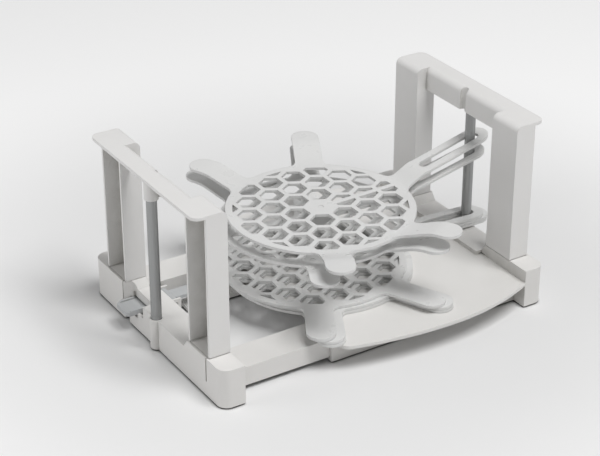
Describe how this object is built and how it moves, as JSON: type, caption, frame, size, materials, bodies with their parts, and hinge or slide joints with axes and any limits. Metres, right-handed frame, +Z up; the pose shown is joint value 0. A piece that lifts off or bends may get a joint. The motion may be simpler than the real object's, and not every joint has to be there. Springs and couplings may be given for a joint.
{
  "type": "plate rack",
  "caption": "Free-standing plate rack with sliding base halves, end frames, guide rods and star-shaped plate separators.",
  "frame": {"origin": "under the middle of the whole rack, on the surface it stands on", "axes": "+X along the rack towards the frame whose rod carries the stars, +Y to the back, the lever's side, +Z up"},
  "size_m": [0.3088, 0.2296, 0.144],
  "materials": {
    "base_plastic": "satin",
    "frame_plastic": "satin",
    "star_plastic": "satin",
    "lever_plastic": "satin",
    "rod_metal": "satin",
    "steel": "satin",
    "foot_rubber": "matte"
  },
  "bodies": {
    "left_half": {"left_base_half": "base_plastic", "left_end_frame": "frame_plastic", "left_guide_rod": "rod_metal", "left_rod_screw": "steel", "left_front_foot": "foot_rubber", "left_rear_foot": "foot_rubber", "lever_pin": "steel", "lever_spring": "steel"},
    "right_half": {"right_base_half": "base_plastic", "right_end_frame": "frame_plastic", "right_guide_rod": "rod_metal", "right_rod_screw": "steel", "right_front_foot": "foot_rubber", "right_rear_foot": "foot_rubber", "stop_screws": "steel"},
    "lever": {"release_lever": "lever_plastic"},
    "upper_star": {"hold_down_star": "star_plastic"},
    "lower_star": {"separator_star": "star_plastic"},
    "star_stack": {"stored_star_1": "star_plastic", "stored_star_2": "star_plastic", "stored_star_3": "star_plastic"}
  },
  "joints": [
    {"name": "base_width", "type": "slide", "parent": "left_half", "child": "right_half", "axis": [1, 0, 0], "range_m": [-0.04, 0.015]},
    {"name": "lever_press", "type": "hinge", "parent": "left_half", "child": "lever", "pos_m": [-0.1144, 0.0382, 0.0146], "axis": [0, -1, 0], "range_deg": [0, 4], "stiffness_Nm_per_rad": 1.5, "springref_deg": -2.86, "deforming": ["lever_spring"]},
    {"name": "upper_star_slide", "type": "slide", "parent": "right_half", "child": "upper_star", "axis": [0, 0, 1], "range_m": [-0.004, 0.022]},
    {"name": "lower_star_slide", "type": "slide", "parent": "right_half", "child": "lower_star", "axis": [0, 0, 1], "range_m": [-0.02, 0.004]},
    {"name": "star_stack_slide", "type": "slide", "parent": "right_half", "child": "star_stack", "axis": [0, 0, 1], "range_m": [0, 0.012]}
  ]
}
